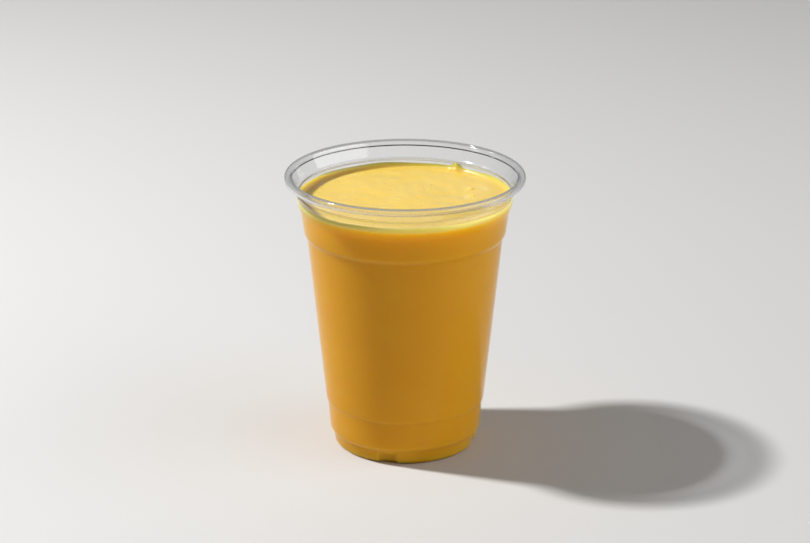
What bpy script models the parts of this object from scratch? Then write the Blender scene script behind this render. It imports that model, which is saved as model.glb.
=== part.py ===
"""Mango smoothie in a clear plastic cup with a rolled rim, at real size.

Metres, +Z up. The origin is the middle of the circle that the cup stands on, and the front faces -Y.
The cup is one sheet of even thickness: its outer face is an outline in radius and height, and its inner
face is that outline moved in by the thickness. The drink follows the inner face with a small gap.
"""

import math

import bmesh
import bpy
from mathutils import Matrix

MM = 0.001

# Cup sheet
WALL = 0.5 * MM
DRINK_GAP = 0.3 * MM

# Underside: a panel raised above the ring that the cup stands on
PANEL_HEIGHT = 3.0 * MM
PANEL_RADIUS = 21.5 * MM
FOOT_INNER_RADIUS = 25.9 * MM
FOOT_OUTER_RADIUS = 28.1 * MM
FOOT_CORNER = 1.2 * MM

# Wall from the bottom up, as (height, radius): the foot, three steps, a flared shoulder and a crease
FOOT_WALL = (1.3 * MM, 29.3 * MM)
LOWEST_STEP = ((5.6 * MM, 29.95 * MM), (7.0 * MM, 31.1 * MM))
LOWER_STEP = ((18.9 * MM, 32.15 * MM), (19.7 * MM, 32.7 * MM))
UPPER_STEP = ((90.0 * MM, 40.0 * MM), (91.8 * MM, 41.15 * MM))
SHOULDER = ((100.6 * MM, 42.4 * MM), (104.9 * MM, 43.9 * MM))
CREASE = ((108.0 * MM, 43.8 * MM), (108.8 * MM, 43.3 * MM), (109.6 * MM, 43.8 * MM))

# Rolled rim: a curl of the sheet that ends short of closing
RIM_RADIUS = 49.0 * MM
CURL_RADIUS = 1.6 * MM
CURL_HEIGHT = 114.4 * MM
CURL_START = math.radians(180)
CURL_END = math.radians(-140)
CURL_STEPS = 9

# Notches pressed into the foot, the first of them left of the front
NOTCH_COUNT = 4
FIRST_NOTCH = math.radians(-14)
NOTCH_HALF_ANGLE = math.radians(8.2)
NOTCH_DEPTH = 1.3 * MM
NOTCH_TOP = 5.5 * MM
NOTCH_FADE = 1.6 * MM
NOTCH_SHARPNESS = 4

# Drink
LEVEL = 106.0 * MM
MENISCUS_RISE = 0.7 * MM
MENISCUS_WIDTH = 1.2 * MM
SWELL = 0.35 * MM
SWELL_LENGTH = 31.0 * MM
SURFACE_RINGS = 9
RING_SPACING_POWER = 1.6

# Soft peak of drink that clings to the wall at the back right
PEAK_AZIMUTH = math.radians(150)
PEAK_HALF_WIDTH = 3.6 * MM
PEAK_HALF_DEPTH = 2.2 * MM
PEAK_TIP = 2.4 * MM
PEAK_SINK = 1.0 * MM
PEAK_RINGS = 6
PEAK_STEPS = 18
PEAK_FLANK_POWER = 1.35

# Steps round the axis, drawn closer together at the notches by this share
TURN_STEPS = 64
CROWDING = 0.4
SMOOTH_ANGLE = math.radians(35)
MERGE_DISTANCE = 1e-7


def clear_scene():
    for obj in list(bpy.data.objects):
        bpy.data.objects.remove(obj, do_unlink=True)


def make_material(name, colour, roughness, transmission=0.0, ior=1.45):
    material = bpy.data.materials.new(name)
    material.use_nodes = True
    shader = material.node_tree.nodes["Principled BSDF"]
    shader.inputs["Base Color"].default_value = (*colour, 1.0)
    shader.inputs["Roughness"].default_value = roughness
    shader.inputs["Metallic"].default_value = 0.0
    shader.inputs["Transmission Weight"].default_value = transmission
    shader.inputs["IOR"].default_value = ior
    return material


def outer_face():
    """The cup's outer face as (radius, height), from the middle of the underside to the free edge of the curl."""
    path = [
        (0.0, PANEL_HEIGHT),
        (PANEL_RADIUS, PANEL_HEIGHT),
        (FOOT_INNER_RADIUS - FOOT_CORNER, FOOT_CORNER),
        (FOOT_INNER_RADIUS, 0.0),
        (FOOT_OUTER_RADIUS, 0.0),
        ((FOOT_OUTER_RADIUS + FOOT_WALL[1]) / 2, FOOT_WALL[0] / 3),
    ]
    for height, radius in (FOOT_WALL, *LOWEST_STEP, *LOWER_STEP, *UPPER_STEP, *SHOULDER, *CREASE):
        path.append((radius, height))
    inside = CURL_RADIUS - WALL
    for step in range(CURL_STEPS + 1):
        angle = CURL_START + (CURL_END - CURL_START) * step / CURL_STEPS
        path.append((
            RIM_RADIUS - CURL_RADIUS + inside * math.cos(angle),
            CURL_HEIGHT + inside * math.sin(angle),
        ))
    return path


def moved_in(path, distance):
    """The path moved to its left by the distance, with mitred corners and its first point kept on the axis."""
    normals = []
    for (r0, z0), (r1, z1) in zip(path, path[1:]):
        length = math.hypot(r1 - r0, z1 - z0)
        normals.append(((z0 - z1) / length, (r1 - r0) / length))
    moved = []
    for index, (radius, height) in enumerate(path):
        before = normals[max(index - 1, 0)]
        after = normals[min(index, len(normals) - 1)]
        reach = distance / (1.0 + before[0] * after[0] + before[1] * after[1])
        moved.append((radius + reach * (before[0] + after[0]), height + reach * (before[1] + after[1])))
    return [(0.0, moved[0][1]), *moved[1:]]


def cut_at(path, top):
    """The part of the path from the axis up to the height top, ending exactly there."""
    kept = [path[0]]
    for (r0, z0), (r1, z1) in zip(path, path[1:]):
        if z1 > top:
            return [*kept, (r0 + (r1 - r0) * (top - z0) / (z1 - z0), top)]
        kept.append((r1, z1))
    return kept


def cup_profile():
    outer = outer_face()
    return outer + moved_in(outer, WALL)[::-1]


def drink_profile():
    """The drink's side, then its surface from the wall to the axis, with a meniscus that dies away from the wall."""
    side = cut_at(moved_in(outer_face(), WALL + DRINK_GAP), LEVEL + MENISCUS_RISE)
    edge = side[-1][0]
    surface = []
    for ring in range(1, SURFACE_RINGS + 1):
        inward = edge * (ring / SURFACE_RINGS) ** RING_SPACING_POWER
        surface.append((edge - inward, LEVEL + MENISCUS_RISE * math.exp(-inward / MENISCUS_WIDTH)))
    surface[-1] = (0.0, surface[-1][1])
    return side + surface


def press_notches(shape):
    """Turns each point towards its nearest notch by the crowding, then presses in the points at a notch."""
    band = FOOT_OUTER_RADIUS - FOOT_INNER_RADIUS
    for vert in shape.verts:
        radius = math.hypot(vert.co.x, vert.co.y)
        azimuth = math.atan2(vert.co.x, -vert.co.y)
        azimuth -= CROWDING * math.sin(NOTCH_COUNT * azimuth) / NOTCH_COUNT
        offset = math.remainder(NOTCH_COUNT * azimuth, 2 * math.pi) / NOTCH_COUNT
        across = min(abs(offset) / NOTCH_HALF_ANGLE, 1.0)
        below = min(max((NOTCH_TOP - vert.co.z) / NOTCH_FADE, 0.0), 1.0)
        outward = min(max((radius - FOOT_INNER_RADIUS) / band, 0.0), 1.0)
        radius -= NOTCH_DEPTH * (1 - across**NOTCH_SHARPNESS) * below * outward
        azimuth += FIRST_NOTCH
        vert.co.x = radius * math.sin(azimuth)
        vert.co.y = -radius * math.cos(azimuth)


def swell_surface(shape):
    """Lifts and lowers the drink's surface in two crossed long waves that die away at the wall."""
    edge = max(math.hypot(vert.co.x, vert.co.y) for vert in shape.verts)
    wave = 2 * math.pi / SWELL_LENGTH
    for vert in shape.verts:
        if vert.co.z < LEVEL - MM:
            continue
        calm = 1 - (math.hypot(vert.co.x, vert.co.y) / edge) ** 4
        height = math.sin(wave * vert.co.x + 0.8) * math.cos(0.7 * wave * vert.co.y - 0.3 * wave * vert.co.x)
        vert.co.z += SWELL * calm * height


def turned(profile, steps):
    """A closed solid as a bmesh: the profile, which starts and ends on the axis, carried round it."""
    shape = bmesh.new()
    points = [shape.verts.new((radius, 0.0, height)) for radius, height in profile]
    edges = [shape.edges.new(pair) for pair in zip(points, points[1:])]
    bmesh.ops.spin(
        shape, geom=points + edges, cent=(0, 0, 0), axis=(0, 0, 1),
        angle=2 * math.pi, steps=steps, use_merge=True,
    )
    bmesh.ops.remove_doubles(shape, verts=shape.verts, dist=MERGE_DISTANCE)
    bmesh.ops.recalc_face_normals(shape, faces=shape.faces)
    return shape


def add_object(name, shape, material):
    mesh = bpy.data.meshes.new(name)
    shape.to_mesh(mesh)
    shape.free()
    mesh.shade_smooth()
    mesh.set_sharp_from_angle(angle=SMOOTH_ANGLE)
    mesh.materials.append(material)
    obj = bpy.data.objects.new(name, mesh)
    bpy.context.scene.collection.objects.link(obj)
    return obj


def add_cup():
    shape = turned(cup_profile(), TURN_STEPS)
    press_notches(shape)
    return add_object("cup", shape, make_material("clear_plastic", (0.96, 0.97, 0.97), 0.04, 1.0, 1.57))


def add_peak(edge, material):
    """A cone with hollow flanks, flattened against the wall, whose foot is sunk in the drink up to its edge."""
    profile = [(0.0, 0.0)]
    for ring in range(PEAK_RINGS):
        share = ring / PEAK_RINGS
        profile.append(((1 - share) ** PEAK_FLANK_POWER, share))
    profile.append((0.0, 1.0))
    shape = turned(profile, PEAK_STEPS)
    size = (PEAK_HALF_WIDTH, PEAK_HALF_DEPTH, PEAK_SINK + PEAK_TIP)
    bmesh.ops.scale(shape, verts=shape.verts, vec=size)
    bmesh.ops.translate(shape, verts=shape.verts, vec=(0, PEAK_HALF_DEPTH - edge, LEVEL - PEAK_SINK))
    turn = Matrix.Rotation(PEAK_AZIMUTH, 3, "Z")
    bmesh.ops.rotate(shape, verts=shape.verts, cent=(0, 0, 0), matrix=turn)
    peak = add_object("peak", shape, material)
    peak.hide_render = True
    peak.display_type = "WIRE"
    return peak


def add_smoothie():
    material = make_material("mango_drink", (0.87, 0.60, 0.11), 0.35)
    profile = drink_profile()
    shape = turned(profile, TURN_STEPS)
    press_notches(shape)
    swell_surface(shape)
    smoothie = add_object("smoothie", shape, material)
    edge = cut_at(profile, LEVEL - PEAK_SINK)[-1][0]
    union = smoothie.modifiers.new("peak", "BOOLEAN")
    union.operation = "UNION"
    union.object = add_peak(edge, material)
    return smoothie


def main():
    clear_scene()
    add_cup()
    add_smoothie()


main()
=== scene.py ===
"""Looks of a mango smoothie in a clear cup: fine sheet, drink and its surface, floor, lamps and camera.

Lengths are millimetres, as on a cup's drawing, and become metres when a mesh or a light is made.
"""

import bpy
import numpy as np
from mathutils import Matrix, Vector


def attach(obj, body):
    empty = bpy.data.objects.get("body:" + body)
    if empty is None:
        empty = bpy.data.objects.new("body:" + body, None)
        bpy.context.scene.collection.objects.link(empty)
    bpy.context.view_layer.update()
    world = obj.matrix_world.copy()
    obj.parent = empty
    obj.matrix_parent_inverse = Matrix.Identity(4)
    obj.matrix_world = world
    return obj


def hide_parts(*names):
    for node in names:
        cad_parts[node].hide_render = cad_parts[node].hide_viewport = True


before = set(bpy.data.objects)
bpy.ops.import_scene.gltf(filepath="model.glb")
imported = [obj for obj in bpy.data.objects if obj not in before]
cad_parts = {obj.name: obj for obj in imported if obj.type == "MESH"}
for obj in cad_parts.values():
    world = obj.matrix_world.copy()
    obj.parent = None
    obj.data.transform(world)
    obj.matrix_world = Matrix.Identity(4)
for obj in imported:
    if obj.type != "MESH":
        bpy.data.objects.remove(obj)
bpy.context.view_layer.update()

MM = 0.001

# Cup sheet, as (height, outside radius)
WALL = 0.5
PANEL_HEIGHT, PANEL_RADIUS = 3.0, 21.5
FOOT_INNER_RADIUS, FOOT_OUTER_RADIUS, FOOT_CORNER = 25.9, 28.1, 1.2
FOOT_WALL = (1.3, 29.3)
LOWEST_STEP = ((5.6, 29.95), (7.0, 31.1))
LOWER_STEP = ((18.9, 32.15), (19.7, 32.7))
UPPER_STEP = ((90.0, 40.0), (91.8, 41.15))
SHOULDER = ((100.6, 42.4), (104.9, 43.9))
CREASE = ((108.0, 43.9), (108.75, 43.1), (109.5, 43.9))
RIM_RADIUS, CURL_RADIUS, CURL_HEIGHT = 49.0, 1.6, 114.4
CURL_START, CURL_END, CURL_STEPS = np.radians(180), np.radians(-140), 40

# Mesh fineness
CORNER_ROUNDING = 0.25
FINE_STEP = 0.05
STRAIGHT_STEP = 3.0
CURL_STEP = 0.35
CORNER_STATIONS = np.array([-1.2, -0.75, -0.4, 0.0, 0.4, 0.75, 1.2])
LEAST_STEP = 0.12
CUP_AROUND = 192
DRINK_AROUND = 384
SURFACE_RINGS = 110
RING_SPACING_POWER = 1.5

# Foot notches
NOTCH_COUNT = 4
FIRST_NOTCH = np.radians(-14)
NOTCH_HALF_ANGLE = np.radians(8.2)
NOTCH_DEPTH, NOTCH_TOP, NOTCH_FADE = 1.3, 5.5, 1.6
NOTCH_SHARPNESS = 4

# Drink
LEVEL = 105.0
INTO_WALL = 0.12
MENISCUS_RISE, MENISCUS_WIDTH = 1.8, 0.7
# Depth under the level over which the painted glow fades
PAINTED_GLOW_DEPTH = 4.0
OPEN_SURFACE = -4.0
WETTED_UP_TO = 106.6
WALL_MATERIAL_STOPS = 0.1
MENISCUS_UNEVENNESS = 0.15
SWELL, SWELL_LENGTH = 0.35, 31.0
RIPPLE_COUNT, RIPPLE_HEIGHT, RIPPLE_LENGTHS = 26, 0.02, (5.0, 14.0)
PEAK_AZIMUTH = np.radians(150)
PEAK_HALF_WIDTH, PEAK_TIP, PEAK_DEPTH, PEAK_POWER = 3.6, 2.4, 1.7, 1.35

# Lumps and pits of the surface, as (x, y, radius, height)
SURFACE_MARKS = (
    (27.0, 12.0, 0.9, 1.0),
    (27.6, 3.3, 0.7, 0.8),
    (18.6, 36.0, 0.8, 0.9),
    (6.0, -0.6, 0.9, -0.35),
    (-14.0, 6.0, 0.8, -0.3),
    (-5.5, 12.0, 0.8, -0.2),
    (-2.5, -12.0, 0.8, -0.25),
    (-3.4, -1.8, 0.9, -0.25),
)

# How the cup's materials fade: the lamps' shade through the curl over its first height, and the painted
# shade line in the sheet's tint either side of the crease's fold
CURLED_OVER, FOLD_HALF_WIDTH = 2.0, 0.3

# How the drink's colour changes with depth under its level: open surface to the film's painted light, then
# film to the side's painted glow and painted shade
FILM_LIGHT_BAND = (-3.0, -1.8)
SIDE_BAND = (-0.4, 1.0)

# Colours of the drink and the floor; the drink's side colours are painted shade, its glow and film colours
# painted light
TOP_COLOURS = (0.80, 0.555, 0.085, 1.0), (0.83, 0.59, 0.11, 1.0)
# Painted shade: the side is a deeper orange than the top, standing in for the side's dimmer light
SHADED_SIDE_COLOURS = (0.79, 0.37, 0.012, 1.0), (0.82, 0.40, 0.018, 1.0)
# Painted light: a brighter yellow just under the level, standing in for light the drink carries down from
# its lit top
PAINTED_GLOW_COLOUR = (0.93, 0.56, 0.010, 1.0)
# Painted light: the film at the wall's edge is paler and brighter, standing in for light shining through the
# thin film
PAINTED_FILM_LIGHT_COLOUR = (0.97, 0.72, 0.20, 1.0)
PULP_COLOUR = (0.60, 0.24, 0.012, 1.0)
PALE_COLOUR = (0.95, 0.65, 0.10, 1.0)
FLOOR_COLOURS = (0.60, 0.595, 0.585, 1.0), (0.63, 0.625, 0.615, 1.0)

# Speck: the share of its size that is solid, before it fades out
SPECK_CORE = 0.4

# Floor, lamps and room
FLOOR_HALF = 4000.0
LAMPS_FACE = (0.0, 0.0, 60.0)
KEY_PLACE, KEY_SIZE, KEY_POWER = (-900.0, 150.0, 1190.0), 115.0, 26.0
FILL_PLACE, FILL_SIZE, FILL_POWER = (1450.0, -380.0, 540.0), 2000.0, 16.5
ROOM_LIGHT, ROOM_MIRRORED = 0.15, 0.4

# Camera, in millimetres, with its fall below the horizon in degrees and its lens and sensor
CAMERA_PLACE = (0.0, -1041.8, 445.7)
CAMERA_FALL = 19.66
LENS, SENSOR = 120.0, 36.0


def outline():
    """The cup's outer face as (radius, height) corners, from the underside's middle to the curl's free edge.

    The curl is an arc about a centre one curl radius inside the rim.
    """
    corners = [
        (0.0, PANEL_HEIGHT),
        (PANEL_RADIUS, PANEL_HEIGHT),
        (FOOT_INNER_RADIUS - FOOT_CORNER, FOOT_CORNER),
        (FOOT_INNER_RADIUS, 0.0),
        (FOOT_OUTER_RADIUS, 0.0),
        ((FOOT_OUTER_RADIUS + FOOT_WALL[1]) / 2, FOOT_WALL[0] / 3),
    ]
    walls = (FOOT_WALL, *LOWEST_STEP, *LOWER_STEP, *UPPER_STEP, *SHOULDER, *CREASE)
    corners += [(radius, height) for height, radius in walls]
    angle = np.linspace(CURL_START, CURL_END, CURL_STEPS)
    inside = CURL_RADIUS - WALL
    centre = RIM_RADIUS - CURL_RADIUS
    curl = np.stack([centre + inside * np.cos(angle), CURL_HEIGHT + inside * np.sin(angle)], 1)
    return np.array(corners), curl


def rounded_sheet():
    """The outer face with rounded corners, and its normals towards the inside of the cup.

    The corners' path is sampled at even steps and averaged with a bell curve, which turns each corner
    into an arc. It is then kept at stations: even ones on the straight runs and close ones at the corners.
    """
    corners, curl = outline()
    path = np.concatenate([corners, curl])
    at = np.concatenate([[0.0], np.cumsum(np.hypot(*np.diff(path, axis=0).T))])
    fine = np.arange(0.0, at[-1], FINE_STEP)
    rows = np.stack([np.interp(fine, at, path[:, axis]) for axis in (0, 1)])
    reach = int(4 * CORNER_ROUNDING / FINE_STEP)
    bell = np.exp(-0.5 * (np.arange(-reach, reach + 1) * FINE_STEP / CORNER_ROUNDING) ** 2)
    padded = np.pad(rows, ((0, 0), (reach, reach)), mode="reflect", reflect_type="odd")
    rows = np.stack([np.convolve(row, bell / bell.sum(), "valid") for row in padded])
    slope = np.gradient(rows, axis=1)
    slope /= np.hypot(*slope)
    curl_at = at[len(corners)]
    stations = np.concatenate([
        np.arange(0.0, curl_at, STRAIGHT_STEP),
        (at[1:len(corners), None] + CORNER_STATIONS).ravel(),
        np.arange(curl_at, fine[-1], CURL_STEP),
        [fine[-1]],
    ])
    stations = np.unique(np.round(stations / LEAST_STEP)) * LEAST_STEP
    stations = stations[(stations >= 0) & (stations <= fine[-1])]
    face = np.stack([np.interp(stations, fine, row) for row in rows], 1)
    normal = np.stack([np.interp(stations, fine, -slope[1]), np.interp(stations, fine, slope[0])], 1)
    normal /= np.hypot(*normal.T)[:, None]
    face[0, 0] = 0.0
    normal[0] = (0.0, 1.0)
    return face, normal


def carried_round(profile, around):
    """Rings of points: each (radius, height) of the profile at even steps round the axis, with the notches.

    A notch moves a point inwards by its depth times one minus the fourth power of the distance from
    the notch's middle, and fades out upwards and towards the inside of the foot ring.
    """
    azimuth = np.linspace(0, 2 * np.pi, around, endpoint=False)[None, :]
    radius, height = profile[:, :1], profile[:, 1:]
    turn = NOTCH_COUNT * azimuth
    offset = np.abs((turn + np.pi) % (2 * np.pi) - np.pi) / NOTCH_COUNT
    across = np.minimum(offset / NOTCH_HALF_ANGLE, 1.0)
    below = np.clip((NOTCH_TOP - height) / NOTCH_FADE, 0.0, 1.0)
    below = below * below * (3 - 2 * below)
    outward = np.clip((radius - FOOT_INNER_RADIUS) / (FOOT_OUTER_RADIUS - FOOT_INNER_RADIUS), 0.0, 1.0)
    radius = radius - NOTCH_DEPTH * (1 - across**NOTCH_SHARPNESS) * below * outward
    azimuth = azimuth + FIRST_NOTCH
    return np.stack([radius * np.sin(azimuth), -radius * np.cos(azimuth), height + 0 * azimuth], -1)


def make_piece(name, rings, first_pole, last_pole, material):
    """A closed surface in metres, from rings of points and two poles.

    Quads join neighbouring rings, and a fan joins each end ring to its pole.
    """
    count, around = rings.shape[:2]
    here = np.arange(count * around).reshape(count, around)
    there = np.roll(here, -1, axis=1)
    first, last = count * around, count * around + 1
    quads = np.stack([here[:-1], there[:-1], there[1:], here[1:]], -1).reshape(-1, 4)
    fans = np.concatenate([
        np.stack([np.full(around, first), there[0], here[0]], -1),
        np.stack([np.full(around, last), here[-1], there[-1]], -1),
    ])
    points = np.concatenate([rings.reshape(-1, 3), [first_pole, last_pole]]) * MM
    corners = np.concatenate([quads.ravel(), fans.ravel()])
    sizes = np.concatenate([np.full(len(quads), 4), np.full(len(fans), 3)])
    mesh = bpy.data.meshes.new(name)
    mesh.vertices.add(len(points))
    mesh.vertices.foreach_set("co", points.astype(np.float32).ravel())
    mesh.loops.add(len(corners))
    mesh.loops.foreach_set("vertex_index", corners.astype(np.int32))
    mesh.polygons.add(len(sizes))
    starts = np.cumsum(sizes) - sizes
    mesh.polygons.foreach_set("loop_start", starts.astype(np.int32))
    mesh.update(calc_edges=True)
    mesh.validate()
    mesh.shade_smooth()
    mesh.materials.append(material)
    piece = bpy.data.objects.new(name, mesh)
    bpy.context.scene.collection.objects.link(piece)
    return piece


def give_values(piece, name, values):
    """Stores one number for each vertex, which the materials read by this name."""
    attribute = piece.data.attributes.new(name, "FLOAT", "POINT")
    attribute.data.foreach_set("value", values.astype(np.float32))


class Nodes:
    """Short calls that add nodes to one node tree and join them."""

    def __init__(self, tree):
        self.tree = tree

    def add(self, kind, values=None, **settings):
        node = self.tree.nodes.new(kind)
        for name, value in settings.items():
            setattr(node, name, value)
        for socket, value in (values or {}).items():
            self.feed(node.inputs[socket], value)
        return node

    def feed(self, socket, value):
        if isinstance(value, bpy.types.NodeSocket):
            self.tree.links.new(value, socket)
        else:
            socket.default_value = value

    def math(self, operation, first, second=0.0, clamp=False):
        node = self.add("ShaderNodeMath", {0: first, 1: second}, operation=operation, use_clamp=clamp)
        return node.outputs[0]

    def ramp(self, value, low, high, to_low=0.0, to_high=1.0):
        """The value taken smoothly from low..high to to_low..to_high."""
        node = self.add(
            "ShaderNodeMapRange",
            {"Value": value, "From Min": low, "From Max": high, "To Min": to_low, "To Max": to_high},
            interpolation_type="SMOOTHSTEP",
        )
        return node.outputs["Result"]

    def blend(self, share, first, second, kind="MIX"):
        node = self.add("ShaderNodeMix", data_type="RGBA", blend_type=kind)
        self.feed(node.inputs["Factor"], share)
        self.feed(node.inputs[6], first)
        self.feed(node.inputs[7], second)
        return node.outputs[2]


def new_group(name, inputs, outputs):
    """An empty node group with these float, vector or colour sockets, and its input and output nodes."""
    group = bpy.data.node_groups.new(name, "ShaderNodeTree")
    for in_out, sockets in (("INPUT", inputs), ("OUTPUT", outputs)):
        for label, (kind, value) in sockets.items():
            socket = group.interface.new_socket(label, in_out=in_out, socket_type=f"NodeSocket{kind}")
            if value is not None:
                socket.default_value = value
    nodes = Nodes(group)
    return group, nodes, nodes.add("NodeGroupInput").outputs, nodes.add("NodeGroupOutput").inputs


def cloud_group():
    """Soft uneven patches: fractal noise, drawn apart about its middle by Contrast and kept in 0 to 1."""
    group, nodes, given, out = new_group(
        "soft_patches",
        {"Place": ("Vector", None), "Scale": ("Float", 100.0), "Contrast": ("Float", 1.0)},
        {"Value": ("Float", None)},
    )
    noise = nodes.add(
        "ShaderNodeTexNoise", {"Vector": given["Place"], "Scale": given["Scale"], "Detail": 4.0}
    )
    centred = nodes.math("SUBTRACT", noise.outputs["Fac"], 0.5)
    spread = nodes.math("MULTIPLY", centred, given["Contrast"])
    nodes.feed(out["Value"], nodes.math("ADD", spread, 0.5, clamp=True))
    return group


def speck_group():
    """Sparse round specks: a cell's speck shows where its random number is under Share, Size across."""
    group, nodes, given, out = new_group(
        "specks",
        {
            "Place": ("Vector", None), "Scale": ("Float", 300.0),
            "Size": ("Float", 0.3), "Share": ("Float", 0.2),
        },
        {"Mask": ("Float", None)},
    )
    cells = nodes.add("ShaderNodeTexVoronoi", {"Vector": given["Place"], "Scale": given["Scale"]})
    core = nodes.math("MULTIPLY", given["Size"], SPECK_CORE)
    dot = nodes.ramp(cells.outputs["Distance"], core, given["Size"], 1.0, 0.0)
    pick = nodes.add("ShaderNodeSeparateColor", {"Color": cells.outputs["Color"]})
    shown = nodes.math("LESS_THAN", pick.outputs[0], given["Share"])
    nodes.feed(out["Mask"], nodes.math("MULTIPLY", dot, shown))
    return group


def new_material(name):
    material = bpy.data.materials.new(name)
    material.use_nodes = True
    tree = material.node_tree
    shader = tree.nodes["Principled BSDF"]
    output = tree.nodes["Material Output"]
    place = tree.nodes.new("ShaderNodeTexCoord").outputs["Object"]
    return material, Nodes(tree), shader, output, place


def use_group(nodes, group, values):
    node = nodes.add("ShaderNodeGroup", node_tree=group)
    for socket, value in values.items():
        nodes.feed(node.inputs[socket], value)
    return node.outputs[0]


def clear_plastic(patches, name, refraction, shade_edge_on):
    """Clear thin sheet. Lamps reach through it, less where it is edge on, so its rim casts a faint shade."""
    material, nodes, shader, output, place = new_material(name)
    haze = use_group(nodes, patches, {"Place": place, "Scale": 60.0, "Contrast": 1.4})
    # Painted shade: the sheet's tint darkens where it is seen edge on and along the crease's fold, drawing
    # dark edge and crease lines
    edge_on = nodes.add("ShaderNodeLayerWeight", {"Blend": 0.6}).outputs["Facing"]
    clear = nodes.blend(edge_on, (0.99, 0.99, 0.99, 1.0), (0.80, 0.81, 0.82, 1.0))
    fold_shade = nodes.add("ShaderNodeAttribute", attribute_name="fold_shade").outputs["Fac"]
    nodes.feed(shader.inputs["Base Color"], nodes.blend(fold_shade, clear, (0.72, 0.73, 0.74, 1.0)))
    nodes.feed(shader.inputs["Roughness"], nodes.ramp(haze, 0.2, 0.8, 0.02, 0.07))
    shader.inputs["Transmission Weight"].default_value = 1.0
    shader.inputs["IOR"].default_value = refraction
    waves = use_group(nodes, patches, {"Place": place, "Scale": 35.0, "Contrast": 1.0})
    bump = nodes.add("ShaderNodeBump", {"Strength": 0.06, "Distance": 0.002, "Height": waves})
    nodes.feed(shader.inputs["Normal"], bump.outputs["Normal"])
    facing = nodes.add("ShaderNodeLayerWeight", {"Blend": 0.35}).outputs["Facing"]
    shade = nodes.blend(facing, (0.97, 0.97, 0.97, 1.0), (*shade_edge_on, 1.0))
    curl = nodes.add("ShaderNodeAttribute", attribute_name="curled").outputs["Fac"]
    shade = nodes.blend(curl, shade, (0.4, 0.4, 0.4, 1.0), "MULTIPLY")
    through = nodes.add("ShaderNodeBsdfTransparent", {"Color": shade})
    path = nodes.add("ShaderNodeLightPath")
    for_lamps = nodes.math("MAXIMUM", path.outputs["Is Shadow Ray"], path.outputs["Is Diffuse Ray"])
    mix = nodes.add("ShaderNodeMixShader", {0: for_lamps, 1: shader.outputs[0], 2: through.outputs[0]})
    nodes.feed(output.inputs["Surface"], mix.outputs[0])
    return material


def mango_drink(patches, specks, name, refraction, spread, wetness):
    """Thick, creamy, slightly see-through fruit drink. Its colour is painted by depth: a paler film at the
    wall's edge and a glow just under the level (painted light), and a deeper orange side (painted shade).
    """
    material, nodes, shader, _, place = new_material(name)
    depth = nodes.add("ShaderNodeAttribute", attribute_name="depth").outputs["Fac"]
    broad = use_group(nodes, patches, {"Place": place, "Scale": 55.0, "Contrast": 1.5})
    fine = use_group(nodes, patches, {"Place": place, "Scale": 420.0, "Contrast": 1.6})
    top = nodes.blend(broad, *TOP_COLOURS)
    # Painted shade: the side takes a deeper orange than the top
    side = nodes.blend(broad, *SHADED_SIDE_COLOURS)
    # Painted light: the side turns to a brighter yellow glow just under the level, fading with depth
    painted_glow_depths = nodes.math("DIVIDE", nodes.math("MAXIMUM", depth, 0.0), -PAINTED_GLOW_DEPTH)
    side = nodes.blend(nodes.math("EXPONENT", painted_glow_depths), side, PAINTED_GLOW_COLOUR)
    # Painted light: the film at the wall's edge takes its paler, brighter colour
    colour = nodes.blend(nodes.ramp(depth, *FILM_LIGHT_BAND), top, PAINTED_FILM_LIGHT_COLOUR)
    colour = nodes.blend(nodes.ramp(depth, *SIDE_BAND), colour, side)
    pulp = use_group(nodes, specks, {"Place": place, "Scale": 250.0, "Size": 0.16, "Share": 0.06})
    colour = nodes.blend(nodes.math("MULTIPLY", pulp, 0.45), colour, PULP_COLOUR)
    colour = nodes.blend(nodes.ramp(fine, 0.0, 1.0, 0.0, 0.06), colour, PALE_COLOUR)
    nodes.feed(shader.inputs["Base Color"], colour)
    nodes.feed(shader.inputs["Roughness"], nodes.ramp(fine, 0.0, 1.0, 0.26, 0.38))
    shader.inputs["IOR"].default_value = refraction
    shader.inputs["Coat Weight"].default_value = wetness
    shader.inputs["Coat Roughness"].default_value = 0.06
    shader.inputs["Coat IOR"].default_value = 1.35
    shader.inputs["Subsurface Weight"].default_value = 1.0
    shader.inputs["Subsurface Radius"].default_value = spread
    shader.inputs["Subsurface Scale"].default_value = MM
    bubbles = use_group(nodes, specks, {"Place": place, "Scale": 420.0, "Size": 0.35, "Share": 0.25})
    relief = nodes.math("ADD", fine, nodes.math("MULTIPLY", bubbles, -0.8))
    bump = nodes.add("ShaderNodeBump", {"Strength": 0.25, "Distance": 0.0002, "Height": relief})
    nodes.feed(shader.inputs["Normal"], bump.outputs["Normal"])
    return material


def pale_floor(patches):
    """Matt pale floor with broad, barely darker patches."""
    material, nodes, shader, _, place = new_material("pale_floor")
    cloud = use_group(nodes, patches, {"Place": place, "Scale": 2.0, "Contrast": 1.0})
    nodes.feed(shader.inputs["Base Color"], nodes.blend(cloud, *FLOOR_COLOURS))
    shader.inputs["Roughness"].default_value = 0.7
    return material


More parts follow.
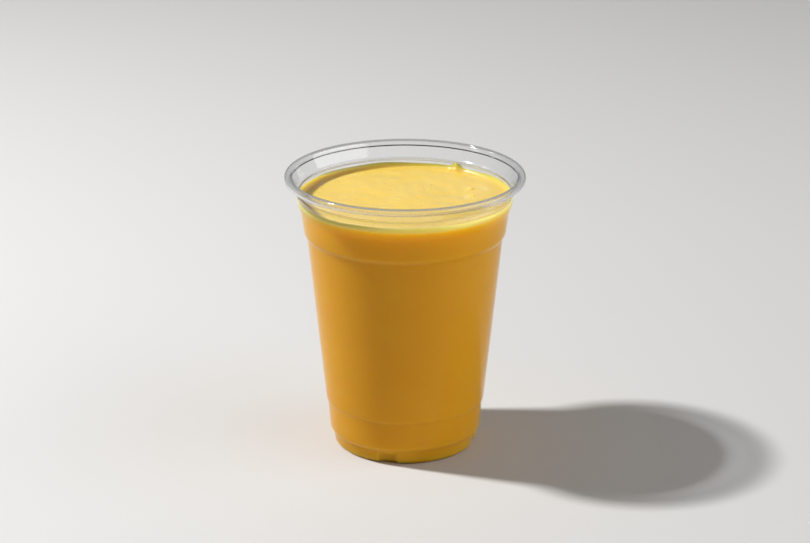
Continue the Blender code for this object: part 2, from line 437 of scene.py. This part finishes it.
def make_cup(material, wetted_material):
    """The sheet's outer face from the underside to the curl's free edge, then its inner face back.

    The faces that start below the drink's wetted line take the wetted material, and so do the end fans.
    """
    face, normal = rounded_sheet()
    inner = face + WALL * normal
    onward = face[-1] - face[-2]
    edge = (face[-1] + inner[-1]) / 2 + WALL / 2 * onward / np.hypot(*onward)
    profile = np.concatenate([face[1:], [edge], inner[:0:-1]])
    rings = carried_round(profile, CUP_AROUND)
    poles = face[0, 1], inner[0, 1]
    piece = make_piece("cup_sheet", rings, (0, 0, poles[0]), (0, 0, poles[1]), material)
    piece.data.materials.append(wetted_material)
    wetted = (rings[:-1, :, 2] < WETTED_UP_TO).ravel()
    slots = np.concatenate([wetted, np.ones(2 * CUP_AROUND)])
    piece.data.polygons.foreach_set("material_index", slots.astype(np.int32))
    height = np.concatenate([rings[..., 2].ravel(), poles])
    give_values(piece, "curled", np.clip((height - CREASE[2][0]) / CURLED_OVER, 0, 1))
    # The fold's band, where the sheet's tint is darkened as a painted shade line
    give_values(piece, "fold_shade", np.exp(-(((height - CREASE[1][0]) / FOLD_HALF_WIDTH) ** 2)))
    return piece


def surface_height(x, y, edge):
    """The drink's height over its level at (x, y): swell, ripples, marks, meniscus and the peak.

    The swell is two crossed sine waves that die away at the wall. The ripples are many small sine waves in
    seeded directions. A mark is a bell curve. The meniscus falls off from the wall exponentially. The peak
    is a power of the distance from its middle along the wall, and falls off from the wall in the same way.
    """
    radius, azimuth = np.hypot(x, y), np.arctan2(x, -y)
    calm = 1 - np.clip(radius / edge, 0, 1) ** 4
    wave = 2 * np.pi / SWELL_LENGTH
    height = SWELL * calm * np.sin(wave * x + 0.8) * np.cos(0.7 * wave * y - 0.3 * wave * x)
    rng = np.random.default_rng(7)
    lengths = rng.uniform(*RIPPLE_LENGTHS, RIPPLE_COUNT)
    turns, phases = rng.uniform(0, 2 * np.pi, (2, RIPPLE_COUNT))
    along = x[..., None] * np.cos(turns) + y[..., None] * np.sin(turns)
    height += RIPPLE_HEIGHT * calm * np.sin(2 * np.pi * along / lengths + phases).sum(-1)
    for mark_x, mark_y, size, rise in SURFACE_MARKS:
        height += rise * np.exp(-((x - mark_x) ** 2 + (y - mark_y) ** 2) / size**2)
    inward = edge - radius
    uneven = 1 + MENISCUS_UNEVENNESS * np.sin(3 * azimuth + 1.0) * np.sin(7 * azimuth)
    off_wall = np.clip(inward - INTO_WALL, 0, None)
    height += MENISCUS_RISE * uneven * np.exp(-off_wall / MENISCUS_WIDTH)
    along_wall = np.abs((azimuth - PEAK_AZIMUTH + np.pi) % (2 * np.pi) - np.pi) * edge / PEAK_HALF_WIDTH
    peak = np.clip(1 - along_wall, 0, 1) ** PEAK_POWER
    return height + PEAK_TIP * peak * np.exp(-np.clip(inward, 0, None) / PEAK_DEPTH)


def make_drink(material, wall_material):
    """The side lies a little way into the wall, and the surface runs from the wall to the axis.

    Each vertex stores its depth under the level: true on the side, and fixed on the open surface and
    where the surface meets the wall. The faces along the wall and underneath take the wall's material.
    """
    face, normal = rounded_sheet()
    side = face + (WALL - INTO_WALL) * normal
    wall_top = np.argmax(side[:, 1] > LEVEL + PEAK_TIP + 2 * MENISCUS_RISE)
    side = side[:wall_top]
    upright = side[:, 0] > FOOT_OUTER_RADIUS
    edge = np.interp(LEVEL, side[upright, 1], side[upright, 0])
    side_rings = carried_round(side[1:][side[1:, 1] < LEVEL], DRINK_AROUND)
    azimuth = np.linspace(0, 2 * np.pi, DRINK_AROUND, endpoint=False) + FIRST_NOTCH
    share = (np.arange(SURFACE_RINGS) / SURFACE_RINGS) ** RING_SPACING_POWER
    radius = edge * (1 - share[:, None])
    x, y = radius * np.sin(azimuth), -radius * np.cos(azimuth)
    height = LEVEL + surface_height(x, y, edge)
    at_wall = np.interp(height[0], side[upright, 1], side[upright, 0])
    stretch = 1 + (at_wall / edge - 1) * np.exp(-(edge - radius) / MENISCUS_WIDTH)
    surface = np.stack([x * stretch, y * stretch, height], -1)
    rings = np.concatenate([side_rings, surface])
    middle = LEVEL + surface_height(np.zeros(1), np.zeros(1), edge)[0]
    piece = make_piece("smoothie_body", rings, (0, 0, side[0, 1]), (0, 0, middle), material)
    # The depth picks the drink's painted film light, painted glow and painted side shade
    depth = LEVEL - rings[..., 2]
    depth[len(side_rings)] = -MENISCUS_RISE
    depth[len(side_rings) + 1:] = OPEN_SURFACE
    give_values(piece, "depth", np.concatenate([depth.ravel(), [LEVEL, OPEN_SURFACE]]))
    piece.data.materials.append(wall_material)
    slots = np.zeros(len(piece.data.polygons), np.int32)
    under = int((side_rings[:, 0, 2] < LEVEL - WALL_MATERIAL_STOPS).sum())
    slots[:(under - 1) * DRINK_AROUND] = 1
    slots[-2 * DRINK_AROUND:-DRINK_AROUND] = 1
    piece.data.polygons.foreach_set("material_index", slots)
    return piece


def make_floor(material):
    """One flat square, centred under the cup."""
    half = FLOOR_HALF * MM
    corners = [(-half, -half, 0), (half, -half, 0), (half, half, 0), (-half, half, 0)]
    mesh = bpy.data.meshes.new("floor")
    mesh.from_pydata(corners, [], [(0, 1, 2, 3)])
    mesh.materials.append(material)
    floor = bpy.data.objects.new("floor", mesh)
    bpy.context.scene.collection.objects.link(floor)


def soft_light(name, place, size, power):
    """A round white lamp at the place, in millimetres, that faces the middle of the cup."""
    lamp = bpy.data.lights.new(name, "AREA")
    lamp.shape = "DISK"
    lamp.size = size * MM
    lamp.energy = power
    holder = bpy.data.objects.new(name, lamp)
    holder.location = Vector(place) * MM
    towards = Vector(LAMPS_FACE) * MM - holder.location
    holder.rotation_euler = towards.to_track_quat("-Z", "Y").to_euler()
    bpy.context.scene.collection.objects.link(holder)


def set_world():
    """An even room that gives little light itself, and shows brighter in what mirrors or bends it."""
    world = bpy.data.worlds.new("studio")
    world.use_nodes = True
    nodes = Nodes(world.node_tree)
    background = world.node_tree.nodes["Background"]
    background.inputs["Color"].default_value = (1.0, 1.0, 1.0, 1.0)
    dull = nodes.add("ShaderNodeLightPath").outputs["Is Diffuse Ray"]
    nodes.feed(background.inputs["Strength"], nodes.ramp(dull, 0.0, 1.0, ROOM_MIRRORED, ROOM_LIGHT))
    bpy.context.scene.world = world


def set_camera():
    """A long lens in front of the cup, level from left to right, that looks down at it."""
    camera = bpy.data.cameras.new("camera")
    camera.lens, camera.sensor_width = LENS, SENSOR
    camera.clip_start = 10 * MM
    holder = bpy.data.objects.new("camera", camera)
    holder.location = Vector(CAMERA_PLACE) * MM
    holder.rotation_euler = (np.radians(90 - CAMERA_FALL), 0, 0)
    bpy.context.scene.collection.objects.link(holder)
    bpy.context.scene.camera = holder


def main():
    patches, specks = cloud_group(), speck_group()
    set_camera()
    make_floor(pale_floor(patches))
    cup = make_cup(
        clear_plastic(patches, "clear_plastic", 1.48, (0.45, 0.46, 0.47)),
        clear_plastic(patches, "wetted_plastic", 1.2, (0.75, 0.75, 0.75)),
    )
    drink = make_drink(
        mango_drink(patches, specks, "mango_drink", 1.38, (3.0, 2.4, 1.2), 0.5),
        mango_drink(patches, specks, "drink_at_wall", 1.08, (9.0, 6.0, 0.5), 0.0),
    )
    for piece, node, slot in ((cup, "cup", "clear_plastic"), (drink, "smoothie", "mango_drink")):
        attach(piece, "root")
        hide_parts(node)
    soft_light("key", KEY_PLACE, KEY_SIZE, KEY_POWER)
    soft_light("fill", FILL_PLACE, FILL_SIZE, FILL_POWER)
    set_world()
    bpy.context.scene.view_settings.view_transform = "Standard"


main()
